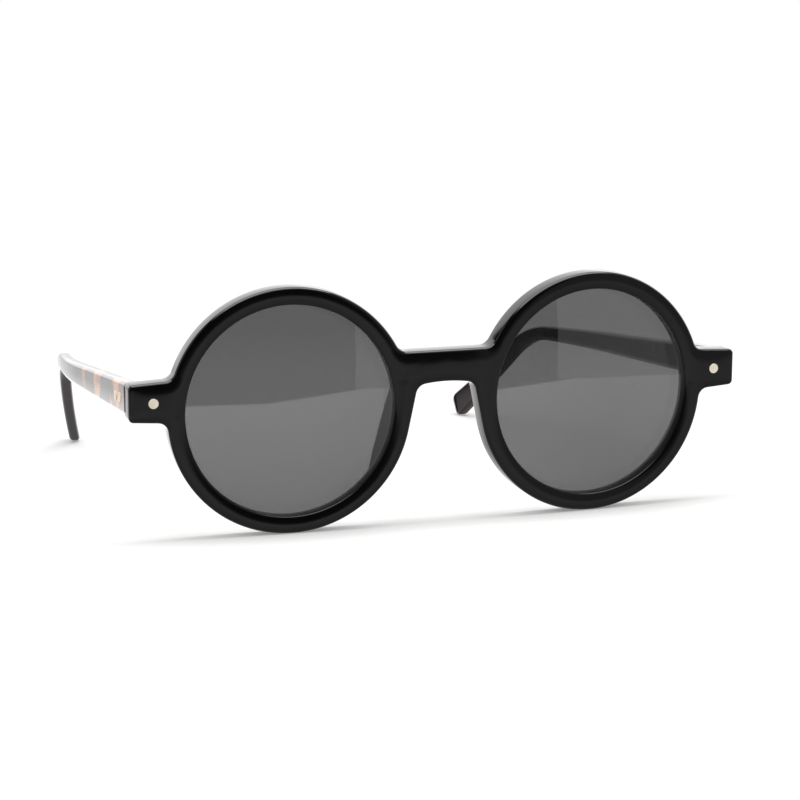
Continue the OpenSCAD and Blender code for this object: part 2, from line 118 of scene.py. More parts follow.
class FrontSizes(PropertyGroup):
    opening_r: length("Opening radius", 23.45, "Radius of each round opening")
    half_spacing: length("Half spacing", 35.5, "Distance of each lens centre from the middle")
    rim_w: length("Rim width", 3.9, "Width of the rim round each lens")
    thick: length("Thickness", 5.1, "Thickness of the front from face to back")
    edge_r: length("Outer edge rounding", 0.7, "Rounding of the outer edges")
    opening_edge_r: length("Opening edge rounding", 0.4, "Rounding of the edges of the openings")
    joint_edge_r: length("Joint edge rounding", 0.15, "Rounding of the back edge where the temple butts on it")
    crown: length("Crown", 0.3, "Fall of the polished face towards its outline")
    crown_reach: length("Crown reach", 2.9, "How far the fall reaches in from the outline")
    inner_crown: length("Inner crown", 0.35, "Fall of the polished face towards the openings")
    inner_reach: length("Inner crown reach", 3.2, "How far that fall reaches")
    wrap: angle("Wrap", 2.8, "Backward wrap of each half")
    lean: angle("Lean", 2.7, "Forward lean of the top")
    bend_from: length("Bend start", 5.5, "Where the wrap bend starts")
    bend_to: length("Bend end", 10.8, "Where the wrap bend ends")
    bridge_top: length("Bridge top", 11.9, "Top edge of the bridge above the lens centres")
    bridge_low: length("Bridge underside", 4.45, "Lower edge of the bridge beside the nose")
    bridge_fillet_r: length("Bridge fillet", 3.0, "Fillet from the bridge to the rim")
    nose_corner_r: length("Nose corner", 2.5, "Corner between the bridge and the nose side")
    nose_side: angle("Nose side", 12.0, "Where the nose side leaves the rim")
    arch: angle("Arch", 8.0, "Slope where the arch under the bridge starts")
    end_length: length("End piece length", 8.42, "Reach of the end piece outside the rim")
    end_top: length("End piece top", 7.55, "Top edge of the end piece at its end")
    end_low: length("End piece underside", -0.8, "Lower edge of the end piece at its end")
    end_flare: angle("End piece flare", 3.0, "Slope of the end piece's edges")
    end_corner_r: length("End piece corner", 1.1, "Corner radius seen from the front")
    end_fillet_r: length("End piece fillet", 2.3, "Fillet from the end piece to the rim")
    pad_h: length("Pad height", 4.6, "Height of the nose pad behind the rim")
    pad_length: length("Pad length", 25.2, "Length of the nose pad along the rim")
    pad_w: length("Pad width", 2.4, "Width of the nose pad at its foot")
    pad_turn: angle("Pad place", 15.0, "Middle of the nose pad below the lens centre")
    pad_splay: angle("Pad splay", 24.0, "Slope of the side that lies on the nose")


class LensSizes(PropertyGroup):
    edge_r: length("Lens radius", 23.9, "Radius at the tip of the edge bevel")
    thick: length("Lens thickness", 1.8, "Thickness of the lens")
    curve_r: length("Front curve", 132.0, "Radius of the lens's front curve")
    edge_depth: length("Edge depth", 3.55, "Depth of the edge behind the front face")
    play: length("Groove play", 0.06, "Play round the lens in its groove")


class TempleSizes(PropertyGroup):
    run: length("Straight run", 90.8, "Length from the joint to the ear bend")
    ear_length: length("Ear length", 32.2, "Length behind the ear bend")
    ear_turn: angle("Ear bend", 34.5, "Turn of the ear bend")
    ear_bend_r: length("Ear bend radius", 30.0, "Radius of the ear bend")
    drop: angle("Drop", 2.6048, "Fall of the straight run")
    toe: angle("Toe", 1.25, "Inward turn of the straight run")
    side_run: length("Side run", 54.0, "Straight part before the inward curve")
    side_curve_r: length("Side curve", 250.0, "Radius of the inward curve")
    joint_h: length("Height at joint", 7.4, "Height of the temple at the joint")
    ear_h: length("Height at ear", 3.8, "Height of the temple at the ear bend")
    tip_h: length("Height at tip", 7.2, "Height of the temple at its tip")
    tip_round: length("Tip rounding", 3.0, "Length of the rounded end")
    joint_t: length("Thickness at joint", 3.56, "Thickness of the temple at the joint")
    tip_t: length("Thickness at tip", 2.9, "Thickness of the temple at its tip")
    edge_r: length("Edge rounding", 1.1, "Rounding of the long edges")
    end_r: length("End rounding", 0.14, "Polished rounding of the end at the joint")
    step: length("Step", -0.22, "How far the temple stands outside the face of the end piece")
    joint_gap: length("Joint gap", 0.15, "Gap between temple and end piece")
    narrowing: share("Narrowing", 1.25, "How the height falls along the run")
    flare: share("Flare", 1.6, "How the height grows towards the tip")


class FittingSizes(PropertyGroup):
    head_r: length("Rivet head radius", 1.1, "Radius of a rivet's head")
    head_proud: length("Rivet proud", 0.1, "How far a head stands proud")
    head_sunk: length("Rivet sunk", 0.35, "How deep a head is sunk")
    head_round: length("Rivet edge", 0.1, "Rolled edge of a head")
    shank_r: length("Rivet shank radius", 0.6, "Radius of a rivet's shank")
    front_rivet_z: length("Front rivet height", 3.4, "Height of the front rivet above the lens centres")
    temple_rivet_from: length("First temple rivet", 5.0, "Distance from the joint")
    temple_rivet_step: length("Temple rivet step", 4.3, "Distance between the two temple rivets")
    hinge_z: length("Hinge height", 3.55, "Height of the hinge above the lens centres")
    pin_inset: length("Pin inset", 5.3, "Distance of the pin from the end piece's end")
    barrel_r: length("Barrel radius", 1.3, "Outer radius of the barrels")
    plate_t: length("Plate thickness", 0.8, "Thickness of the leaf plates")
    front_plate_w: length("Front plate width", 6.0, "Width of the front leaf's plate")
    plate_h: length("Plate height", 5.79, "Height of the front leaf's plate")
    temple_plate_h: length("Temple plate height", 5.19, "Height of the temple leaf's plate")
    temple_plate_end: length("Temple plate end", 12.63, "Where the temple leaf's plate ends")
    seat_play: length("Seat play", 0.04, "Play round a plate in its seat")
    metal_edge: length("Broken edge", 0.07, "Width of the broken edges of hinge parts")


class Finishes(PropertyGroup):
    black: colour("Black acetate", "#070707", "Body colour of the front and pads")
    black_soft: colour("Black acetate, thin", "#0c0c0d", "Where the black shows a little depth")
    dark: colour("Tortoise ground", "#140f0e", "Darkest brown of the temples")
    brown: colour("Tortoise brown", "#3a1c16", "Middle brown of the temples")
    amber: colour("Tortoise amber", "#9a5430", "Amber flecks of the temples")
    honey: colour("Tortoise honey", "#c98a58", "Lightest part of the flecks")
    lens_tint: colour("Lens tint", "#626262", "Colour that the lens lets through")
    champagne: colour("Nickel silver", "#fff7e4", "Rivet heads")
    champagne_low: colour("Nickel silver, worn", "#f4ead4", "Rivet heads where they were rubbed")
    steel: colour("Steel", "#b9b7b2", "Hinge leaves, screws and wire cores")
    steel_low: colour("Steel, low", "#97958f", "Milling marks of the steel")
    table: colour("Table", "#e6e6e5", "Floor under the glasses")


class StageSizes(PropertyGroup):
    camera_at: spot("Camera", (-0.203748, -0.632382, 0.123251), "Place of the camera")
    look_at: spot("Target", (-0.010643, -0.069459, 0.028364), "Point that the camera looks at")
    roll: angle("Roll", -0.626, "Turn of the camera about its view")
    focal: FloatProperty(name="Focal length", description="Focal length of the camera in mm on 36 mm", default=123.293)
    table_size: length("Table size", 4000.0, "Width and depth of the table")
    fill: share("Fill", 0.68, "Light that comes from all round")
    table_glow: share("Table glow", 0.2, "Brightness added to the table where it is only looked at")
    lamp_power: FloatProperty(name="Lamp", description="Power of the strip light overhead in watts", default=7.0)
    lamp_length: length("Lamp length", 1200.0, "Length of the strip light overhead")
    lamp_width: length("Lamp width", 300.0, "Width of the strip light overhead")
    card_glow: share("Card", 0.31, "Brightness of the grey card beside the camera")
    floor_near: share("Reflected floor", 0.85, "Brightness of the reflected floor at its far edge")
    floor_low: share("Reflected floor, low", 0.5, "Brightness of the reflected floor near the glasses")


# Meshes


def mesh_object(name, points, faces):
    """An object of clean closed faces whose normals point out."""
    mesh = bpy.data.meshes.new(name)
    mesh.from_pydata([tuple(p) for p in points], [], faces)
    made = bmesh.new()
    made.from_mesh(mesh)
    bmesh.ops.remove_doubles(made, verts=made.verts, dist=TINY)
    bmesh.ops.dissolve_degenerate(made, edges=made.edges, dist=TINY / 10)
    bmesh.ops.recalc_face_normals(made, faces=made.faces)
    made.to_mesh(mesh)
    made.free()
    obj = bpy.data.objects.new(name, mesh)
    bpy.context.scene.collection.objects.link(obj)
    return obj


def piece(name, points, faces, body, slot, nodes, sharp=SHARP):
    """A closed mesh that rides on a body and stands for the CAD nodes."""
    obj = mesh_object(name, points, faces)
    dress(obj, body, slot, nodes, sharp)
    return obj


def dress(obj, body, slot, nodes, sharp):
    obj.data.materials.clear()
    obj.data.materials.append(finish(slot))
    smooth(obj.data, sharp)
    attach(obj, body)
    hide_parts(*nodes)


def smooth(mesh, sharp):
    mesh.polygons.foreach_set("use_smooth", [True] * len(mesh.polygons))
    mesh.set_sharp_from_angle(angle=math.radians(sharp))
    mesh.update()


def skin_faces(rows, count, first=True, last=True):
    """Quads between closed rows of count points each, with a flat face at either end where it is asked for."""
    faces = []
    for k in range(rows - 1):
        for i in range(count):
            j = (i + 1) % count
            faces.append((k * count + i, k * count + j, (k + 1) * count + j, (k + 1) * count + i))
    if first:
        faces.append(tuple(range(count))[::-1])
    if last:
        faces.append(tuple((rows - 1) * count + i for i in range(count)))
    return faces


def lathe(profile, steps, to_world):
    """Rings round an axis from [radius, height] pairs, mapped into place; ends on the axis close."""
    turns = np.linspace(0, 2 * math.pi, steps, endpoint=False)
    points = [to_world(r * math.cos(t), h, r * math.sin(t)) for r, h in profile for t in turns]
    return points, skin_faces(len(profile), steps, profile[0][0] > 0, profile[-1][0] > 0)


def quarter(centre, radii, start, end, steps):
    """Points of an arc, as [radius, height] pairs, ends included."""
    return [
        (centre[0] + radii[0] * math.cos(t), centre[1] + radii[1] * math.sin(t))
        for t in np.linspace(math.radians(start), math.radians(end), steps + 1)
    ]


def box(name, low, high, to_world):
    """A box that only cuts: its corners go through to_world."""
    corners = [to_world(x, y, z) for x in (low[0], high[0]) for y in (low[1], high[1]) for z in (low[2], high[2])]
    faces = [(0, 1, 3, 2), (4, 6, 7, 5), (0, 4, 5, 1), (2, 3, 7, 6), (0, 2, 6, 4), (1, 5, 7, 3)]
    return mesh_object(name, corners, faces)


def apply_modifiers(obj):
    """Turns the object's modifiers into its own mesh."""
    bpy.context.view_layer.update()
    shape = obj.evaluated_get(bpy.context.evaluated_depsgraph_get())
    made = bpy.data.meshes.new_from_object(shape)
    old = obj.data
    obj.modifiers.clear()
    obj.data = made
    bpy.data.meshes.remove(old)


def cut(obj, cutters):
    """Takes the cutters out of the object, for good."""
    for cutter in cutters:
        modifier = obj.modifiers.new("seat", "BOOLEAN")
        modifier.operation = "DIFFERENCE"
        modifier.solver = "EXACT"
        modifier.object = cutter
    apply_modifiers(obj)
    for cutter in cutters:
        bpy.data.objects.remove(cutter)
    smooth(obj.data, SHARP)


# The front's own shape, in metres, first flat and then bent


def raw_bent(s, x, d, z):
    a = s.wrap * min(max((x - s.bend_from) / (s.bend_to - s.bend_from), 0.0), 1.0)
    past = max(0.0, x - s.bend_to)
    radius = (s.bend_to - s.bend_from) / s.wrap
    bx = min(x, s.bend_from) + radius * math.sin(a) + past * math.cos(a) - d * math.sin(a)
    by = radius * (1 - math.cos(a)) + past * math.sin(a) + d * math.cos(a)
    return Vector((
        bx,
        by * math.cos(s.lean) - z * math.sin(s.lean),
        by * math.sin(s.lean) + z * math.cos(s.lean),
    ))


def end_x(s):
    return s.half_spacing + s.opening_r + s.rim_w + s.end_length


def front_place(scene):
    """Maps a point of the flat front, [x, depth, height], into the frame: the hinge pin says where."""
    s, f = scene.sunglasses_front, scene.sunglasses_fittings
    t = scene.sunglasses_temples
    pin = raw_bent(s, end_x(s) - f.pin_inset, s.thick + t.joint_gap + f.barrel_r, f.hinge_z)
    shift = PINS["temple_right"] - pin

    def place(x, d, z, side=1):
        p = raw_bent(s, x, d, z) + shift
        return Vector((side * p.x, p.y, p.z))

    return place


def arc(c, r, start, end, steps, hollow):
    """Points of an arc with the normals that point into the acetate, which lies outside a hollow one."""
    sign = 1 if hollow else -1
    return [
        (c[0] + r * math.cos(a), c[1] + r * math.sin(a), sign * math.cos(a), sign * math.sin(a))
        for a in np.linspace(start, end, steps + 1)
    ]


def line(p, q, steps):
    """Points between p and q, without them, with the normal on the right of the way."""
    size = math.hypot(q[0] - p[0], q[1] - p[1])
    n = ((q[1] - p[1]) / size, (p[0] - q[0]) / size)
    return [
        (p[0] + (q[0] - p[0]) * i / steps, p[1] + (q[1] - p[1]) * i / steps, *n) for i in range(1, steps)
    ]


def fillet_on_rim(s, start, towards, up, r):
    """Centre of a fillet of radius r between the rim and a line through start."""
    rim = Vector((s.half_spacing, 0.0))
    q = start + r * up - rim
    b = q.dot(towards)
    return rim + q - towards * (b + math.sqrt(b * b - q.dot(q) + (s.opening_r + s.rim_w + r) ** 2))


def outline(s):
    """Points of the right half's outline, from the middle of the bridge's top, over the rim and end piece,
    to the middle of its arch: x, height, and the normal that points into the acetate."""
    rim = (s.half_spacing, 0.0)
    rim_r = s.opening_r + s.rim_w
    far = end_x(s)
    half_pi = math.pi / 2
    # Steps along the bridge, the upper and lower rim, fillets and corners, edges of the end piece, and the nose
    bridge_steps, top_steps, low_steps, fine, edge_steps = 14, 96, 112, 8, 7
    nose_steps, corner_steps, arch_steps = 10, 12, 9

    def turn(c):
        return math.atan2(c[1] - rim[1], c[0] - rim[0])

    bridge = fillet_on_rim(s, Vector((0, s.bridge_top)), Vector((1, 0)), Vector((0, 1)), s.bridge_fillet_r)
    flare = s.end_flare
    ends = {}
    for z, sign in ((s.end_top, 1), (s.end_low, -1)):
        ends[sign] = fillet_on_rim(
            s, Vector((far, z)), Vector((-math.cos(flare), sign * math.sin(flare))),
            Vector((math.sin(flare), sign * math.cos(flare))), s.end_fillet_r,
        )
    top, low = ends[1], ends[-1]
    top_c = (far - s.end_corner_r, s.end_top - s.end_corner_r)
    low_c = (far - s.end_corner_r, s.end_low + s.end_corner_r)
    nose_from = (rim[0] - rim_r * math.cos(s.nose_side), -rim_r * math.sin(s.nose_side))
    corner_z = s.bridge_low - s.nose_corner_r * math.cos(s.arch)
    corner_x = (
        nose_from[0] - (corner_z - nose_from[1]) * math.tan(s.nose_side) - s.nose_corner_r / math.cos(s.nose_side)
    )
    nose_to = (
        corner_x + s.nose_corner_r * math.cos(s.nose_side), corner_z + s.nose_corner_r * math.sin(s.nose_side)
    )
    arch_x = corner_x + s.nose_corner_r * math.sin(s.arch)
    arch_h = arch_x * math.tan(s.arch) / 2
    points = [(bridge.x * i / bridge_steps, s.bridge_top, 0.0, -1.0) for i in range(bridge_steps)]
    points += arc(bridge, s.bridge_fillet_r, 3 * half_pi, math.pi + turn(bridge), fine, True)
    points += arc(rim, rim_r, turn(bridge), turn(top), top_steps, False)[1:-1]
    points += arc(top, s.end_fillet_r, math.pi + turn(top), 3 * half_pi - flare, fine, True)
    corner = (top_c[0] + s.end_corner_r * math.sin(flare), top_c[1] + s.end_corner_r * math.cos(flare))
    points += line(points[-1], corner, edge_steps)
    points += arc(top_c, s.end_corner_r, half_pi - flare, 0, fine, False)
    points += line((far, top_c[1]), (far, low_c[1]), END_STEPS)
    points += arc(low_c, s.end_corner_r, 0, flare - half_pi, fine, False)
    low_turn = half_pi + flare
    corner = (low[0] + s.end_fillet_r * math.cos(low_turn), low[1] + s.end_fillet_r * math.sin(low_turn))
    points += line(points[-1], corner, edge_steps)
    points += arc(low, s.end_fillet_r, low_turn, math.pi + turn(low), fine, True)
    points += arc(rim, rim_r, turn(low), s.nose_side - math.pi, low_steps, False)[1:-1]
    points += line(nose_from, nose_to, nose_steps)
    points += arc((corner_x, corner_z), s.nose_corner_r, s.nose_side, half_pi - s.arch, corner_steps, True)
    points += [
        (x, s.bridge_low + arch_h * (1 - (x / arch_x) ** 2), 0.0, 1.0)
        for x in (arch_x * (1 - i / arch_steps) for i in range(1, arch_steps + 1))
    ]
    return points, s.bridge_low + arch_h


def edge_distance(points, path):
    """Distance of each point to the polyline."""
    a, b = path[:-1], path[1:]
    along = b - a
    not_zero = 1e-18
    size = np.maximum((along**2).sum(1), not_zero)
    best = np.full(len(points), np.inf)
    for k in range(len(a)):
        t = np.clip(((points - a[k]) @ along[k]) / size[k], 0, 1)
        gap = points - a[k] - t[:, None] * along[k]
        best = np.minimum(best, (gap**2).sum(1))
    return np.sqrt(best)


def rolled(distance, radius):
    """Depth of a rounded edge at a distance in from it."""
    d = np.clip(radius - distance, 0, radius)
    return radius - np.sqrt(radius * radius - d * d)


def front_points(s, lens):
    """Rows of flat points over the right half, each with its depth, and how many rows lie on the outer side."""
    edge, low_middle = outline(s)
    cut_steps = 8
    cuts = [
        (0.0, low_middle + (s.bridge_top - low_middle) * i / cut_steps, 0.0, 1 - 2 * i / cut_steps)
        for i in range(1, cut_steps)
    ]
    path = np.array([(x, z) for x, z, _, _ in edge])
    # For distances near the middle, the outline goes on past it
    past = 40
    path = np.vstack([path[:past][::-1] * (-1, 1), path, path[-past:][::-1] * (-1, 1)])
    ring = np.array(edge + cuts)
    count, on_edge = len(ring), len(edge)
    # Partners on the opening's circle: straight towards the lens centre, but kept in order and apart
    reach = ring[:, :2] + FLAT_FROM * ring[:, 2:] - (s.half_spacing, 0)
    turn = np.unwrap(np.arctan2(reach[:, 1], reach[:, 0]))
    last = turn[0] - 2 * math.pi
    apart = math.radians(0.3)
    end_middle = int(np.argmax(ring[:, 0])) + END_STEPS // 2
    on_rim = np.abs(np.hypot(*(ring[:, :2] - (s.half_spacing, 0)).T) - s.opening_r - s.rim_w) < TINY
    low_rim = end_middle + int(np.argmax(on_rim[end_middle:]))
    for i in range(low_rim, end_middle, -1):
        turn[i] = max(turn[i], turn[i + 1] + apart)
    for i in range(1, on_edge):
        turn[i] = min(turn[i], turn[i - 1] - apart)
    turn[on_edge - 1 :] = np.linspace(turn[on_edge - 1], last, count - on_edge + 2)[:-1]
    unit = np.stack([np.cos(turn), np.sin(turn)], 1)
    centre = np.array([s.half_spacing, 0.0])

    def inset(by):
        return ring[:, :2] + by * ring[:, 2:]

    def circle(radius):
        return centre + radius * unit

    def distances(flat):
        """How far in from the outline, and how far out from the opening."""
        opening = np.hypot(flat[:, 0] - s.half_spacing, flat[:, 1]) - s.opening_r
        return edge_distance(flat, path), np.maximum(opening, 0)

    def face_depth(flat):
        out, into = distances(flat)
        fall = s.crown * np.clip(1 - out / s.crown_reach, 0, 1) ** 2
        fall += s.inner_crown * np.clip(1 - into / s.inner_reach, 0, 1) ** 2
        return fall + rolled(out, s.edge_r) + rolled(into, s.opening_edge_r)

    def back_depth(flat):
        out, into = distances(flat)
        # The back edge stays nearly sharp where the temple butts on it
        butt_w, butt_fade = 2.5 * MM, 1.5 * MM
        butt = np.clip((flat[:, 0] - end_x(s) + butt_w) / butt_fade, 0, 1)
        edge_r = s.edge_r + (s.joint_edge_r - s.edge_r) * butt
        return s.thick - rolled(out, edge_r) - rolled(into, s.opening_edge_r)

    # Rows lie close together on the rounded edges, and further apart on the flat face
    swing = [1 - math.cos(math.radians(a)) for a in range(0, 96, 12)]
    insets = [s.edge_r * w for w in swing + [1.15]] + [FLAT_FROM]
    near = [s.opening_r + s.opening_edge_r * w for w in [2.3, 1.7, 1.25] + swing[::-1]]
    outer, inner = inset(insets[-1]), circle(near[0])
    across = [outer + (inner - outer) * t for t in (0.2, 0.4, 0.6, 0.8)]
    face = [inset(i) for i in insets] + across + [circle(r) for r in near]
    rows = [(flat, face_depth(flat)) for flat in face]
    groove = lens.thick / 2 - LENS_BITE
    for radius, depth in (
        (s.opening_r, lens.edge_depth - groove),
        (lens.edge_r + lens.play, lens.edge_depth),
        (s.opening_r, lens.edge_depth + groove),
    ):
        rows.append((circle(radius), np.full(count, depth)))
    back = [circle(r) for r in near[::-1]] + across[::-1] + [inset(i) for i in insets[::-1]]
    rows += [(flat, back_depth(flat)) for flat in back]
    return rows, count, on_edge, len(insets)


# Finishes


def node(tree, kind, inputs=(), stops=(), **settings):
    """Adds a shader node with its settings, its links and, for a colour ramp, its stops. Inputs go by name or
    number, or as a list in the order of the sockets. A node as an input stands for its first output."""
    made = tree.nodes.new("ShaderNode" + kind)
    for name, value in settings.items():
        setattr(made, name, value)
    elements = made.color_ramp.elements if stops else ()
    while len(elements) < len(stops):
        elements.new(0.5)
    for element, (place, shade) in zip(elements, stops):
        element.position = place
        element.color = shade
    for name, value in inputs.items() if isinstance(inputs, dict) else enumerate(inputs):
        if isinstance(value, bpy.types.Node):
            value = value.outputs[0]
        if isinstance(value, bpy.types.NodeSocket):
            tree.links.new(value, made.inputs[name])
        else:
            made.inputs[name].default_value = value
    return made


def new_finish(name):
    material = bpy.data.materials.new(name)
    material.use_nodes = True
    material.node_tree.nodes.clear()
    return material, material.node_tree


def per(millimetres):
    """Texture scale at which one feature is that long."""
    return 1.0 / (millimetres * MM)


def greys(stops):
    return [(place, (v, v, v, 1.0)) for place, v in stops]


def polished_black_acetate(colours):
    """Cellulose acetate sheet, cut, tumbled and buffed by hand: deep black with a soft wet gloss,
    a slight waviness from the wheel and the haze of fine buffing lines. The wheel reaches the rounded edges
    best, and hardly reaches the routed walls of the openings."""
    material, tree = new_finish("cellulose acetate black, buffed")
    coords = node(tree, "TexCoord").outputs
    where = coords["Object"]
    scene = bpy.context.scene
    s = scene.sunglasses_front
    centre = front_place(scene)(s.half_spacing, s.thick / 2, 0)
    parts = node(tree, "SeparateXYZ", [where]).outputs
    across = node(tree, "Math", [parts["X"]], operation="ABSOLUTE")
    half = node(tree, "CombineXYZ", [across, parts["Y"], parts["Z"]])
    away = node(tree, "VectorMath", [half, centre], operation="DISTANCE").outputs["Value"]
    routed = node(tree, "MapRange", [away, s.opening_r + 0.2 * MM, s.opening_r + 0.4 * MM, 1.0, 0.0])
    facing = node(tree, "SeparateXYZ", [coords["Normal"]]).outputs["Y"]
    flat = node(tree, "Math", [facing], operation="ABSOLUTE")
    dull = node(tree, "MapRange", [flat, 0.9, 0.99, 0.1, 0.16])
    # The buffing wheel leaves waves about 7 mm long
    wave = node(tree, "TexNoise", {"Vector": where, "Scale": per(7), "Detail": 1.0})
    # Buffing lines are finer than a pixel, so they are drawn 0.5 mm apart and faint
    brushed = node(tree, "Mapping", {"Vector": where, "Scale": (1.0, 0.3, 3.0), "Rotation": (0.0, 0.5, 0.0)})
    lines = node(tree, "TexNoise", {"Vector": brushed, "Scale": per(1.5), "Detail": 4.0, "Roughness": 0.6})
    haze = node(tree, "MapRange", [lines, 0.3, 0.7, -0.015, 0.015])
    buffed = node(tree, "Math", [dull, haze], operation="ADD")
    rough = node(tree, "Mix", {0: routed, 2: buffed, 3: 0.28}, data_type="FLOAT")
    wavy = node(tree, "Bump", {"Height": wave, "Distance": 0.02 * MM})
    fine = node(tree, "Bump", {"Height": lines, "Distance": 0.0002 * MM, "Normal": wavy})
    depth = node(tree, "TexNoise", {"Vector": where, "Scale": per(12), "Detail": 2.0})
    shade = node(tree, "ValToRGB", [depth], [(0.3, colours.black), (0.75, colours.black_soft)])
    shader = node(tree, "BsdfPrincipled", {"Base Color": shade, "IOR": 1.4, "Roughness": rough, "Normal": fine})
    node(tree, "OutputMaterial", [shader])
    return material


# How much amber there is along the first 100 mm behind the joint: chips 11, 30 and 45 mm behind it, 5 to 7 mm long
CHIPS = (
    (0.0, 0.35), (0.06, 0.35), (0.08, 1.0), (0.14, 1.0), (0.16, 0.0), (0.258, 0.0), (0.275, 1.0), (0.33, 1.0),
    (0.35, 0.0), (0.415, 0.0), (0.43, 0.7), (0.475, 0.7), (0.495, 0.0), (0.64, 0.0), (0.7, 0.35), (0.76, 0.0),
)


def tortoise_acetate(colours):
    """Cellulose acetate laminated from dark and amber chips, then milled and buffed: brown-black ground with
    soft-edged amber flecks that run through the whole thickness, most of them near the hinge."""
    material, tree = new_finish("cellulose acetate tortoise, buffed")
    where = node(tree, "TexCoord").outputs["Object"]
    # The chips bend their edges over about 6 mm, and lie 4.5 mm further back by it
    bent = node(tree, "TexNoise", {"Vector": where, "Scale": per(6), "Detail": 2.0}).outputs["Color"]
    shift = node(tree, "VectorMath", [bent, (0.0, 9 * MM, 0.0), where], operation="MULTIPLY_ADD")
    joint_y = temple_place(bpy.context.scene)[0].y + 4.5 * MM
    shifted_y = node(tree, "SeparateXYZ", [shift]).outputs["Y"]
    along = node(tree, "MapRange", [shifted_y, joint_y, joint_y + 100 * MM])
    amount = node(tree, "ValToRGB", [along], greys(CHIPS))
    amount.color_ramp.interpolation = "EASE"
    # Clouds 6 mm wide break the chips up, and the right temple was cut where they are fewer
    cloud = node(tree, "TexNoise", {"Vector": where, "Scale": per(6), "Detail": 2.0})
    gate = node(tree, "MapRange", [cloud, 0.38, 0.55, 0.15, 1.0])
    parts = node(tree, "SeparateXYZ", [where]).outputs
    few = node(tree, "MapRange", [parts["X"], -20 * MM, 20 * MM, 1.0, 0.3])
    # The amber falls to 0.4 of itself over the last 1.5 mm at the joint end, so that end is darker
    inside = node(tree, "MapRange", [parts["Y"], joint_y - 4.2 * MM, joint_y - 3.0 * MM, 0.4, 1.0])
    for less in (gate, few, inside):
        amount = node(tree, "Math", [amount, less], operation="MULTIPLY")
    # Brown threads in the ground, 3 mm apart
    threads = node(tree, "TexNoise", {"Vector": shift, "Scale": per(3), "Detail": 3.0})
    faint = node(tree, "Math", [threads, 0.16, amount], operation="MULTIPLY_ADD")
    browns = [(0.05, colours.dark), (0.3, colours.brown), (0.65, colours.amber), (1.0, colours.honey)]
    shade = node(tree, "ValToRGB", [faint], browns)
    wave = node(tree, "TexNoise", {"Vector": where, "Scale": per(8), "Detail": 1.0})
    wavy = node(tree, "Bump", {"Height": wave, "Distance": 0.03 * MM})
    rough = node(tree, "MapRange", [threads, 0.35, 0.7, 0.1, 0.16])
    shader = node(tree, "BsdfPrincipled", {
        "Base Color": shade, "IOR": 1.49, "Roughness": rough,
        "Subsurface Weight": 0.15, "Subsurface Radius": (1.0, 0.5, 0.25), "Subsurface Scale": 1.2 * MM,
        "Coat Weight": 0.4, "Coat Roughness": 0.05, "Coat IOR": 1.5, "Normal": wavy,
    })
    node(tree, "OutputMaterial", [shader])
    return material


def tinted_lens(colours):
    """Cast lens, dyed an even neutral grey and hard-coated: clear, with a mirror-smooth skin."""
    material, tree = new_finish("cast lens grey, hard-coated")
    where = node(tree, "TexCoord").outputs["Object"]
    # The dip coat leaves waves about 12 mm long and a micron or two deep
    flow = node(tree, "TexNoise", {"Vector": where, "Scale": per(12), "Detail": 0.0})
    skin = node(tree, "Bump", {"Height": flow, "Distance": 0.004 * MM})
    shader = node(tree, "BsdfPrincipled", {
        "Base Color": colours.lens_tint, "Roughness": 0.0, "IOR": 1.6, "Transmission Weight": 1.0,
        "Coat Weight": 1.0, "Coat Roughness": 0.0, "Coat IOR": 1.5, "Normal": skin,
    })
    node(tree, "OutputMaterial", [shader])
    return material


def turned_metal(name, high, low, metallic, rough, mark_mm):
    """Metal wire, headed and filed flush or milled: a satin skin with fine even marks."""
    material, tree = new_finish(name)
    where = node(tree, "TexCoord").outputs["Object"]
    stretched = node(tree, "Mapping", {"Vector": where, "Scale": (0.25, 1.0, 2.0), "Rotation": (0.3, 0.2, 0.6)})
    marks = node(tree, "TexNoise", {"Vector": stretched, "Scale": per(mark_mm), "Detail": 3.0, "Roughness": 0.6})
    cloud = node(tree, "TexNoise", {"Vector": where, "Scale": per(1.4), "Detail": 2.0})
    shade = node(tree, "ValToRGB", [cloud], [(0.35, low), (0.65, high)])
    sheen = node(tree, "MapRange", [marks, 0.3, 0.7, rough - 0.06, rough + 0.08])
    bump = node(tree, "Bump", {"Height": marks, "Distance": 0.004 * MM})
    shader = node(
        tree, "BsdfPrincipled", {"Base Color": shade, "Metallic": metallic, "Roughness": sheen, "Normal": bump}
    )
    node(tree, "OutputMaterial", [shader])
    return material


FINISH_MAKERS = {
    "black_acetate": polished_black_acetate,
    "tortoise_acetate": tortoise_acetate,
    "smoke_lens": tinted_lens,
    # Rivets are nickel silver wire, headed and filed to a satin that scatters most of the light
    "champagne_metal": lambda c: turned_metal("nickel silver, buffed", c.champagne, c.champagne_low, 0.25, 0.45, 0.35),
    # Hinges are stainless steel, milled, with marks 0.3 mm apart
    "steel_metal": lambda c: turned_metal("stainless steel, milled", c.steel, c.steel_low, 1.0, 0.3, 0.3),
}
made_finishes = {}


def finish(slot):
    if slot not in made_finishes:
        made_finishes[slot] = FINISH_MAKERS[slot](bpy.context.scene.sunglasses_finishes)
    return made_finishes[slot]


# Pieces


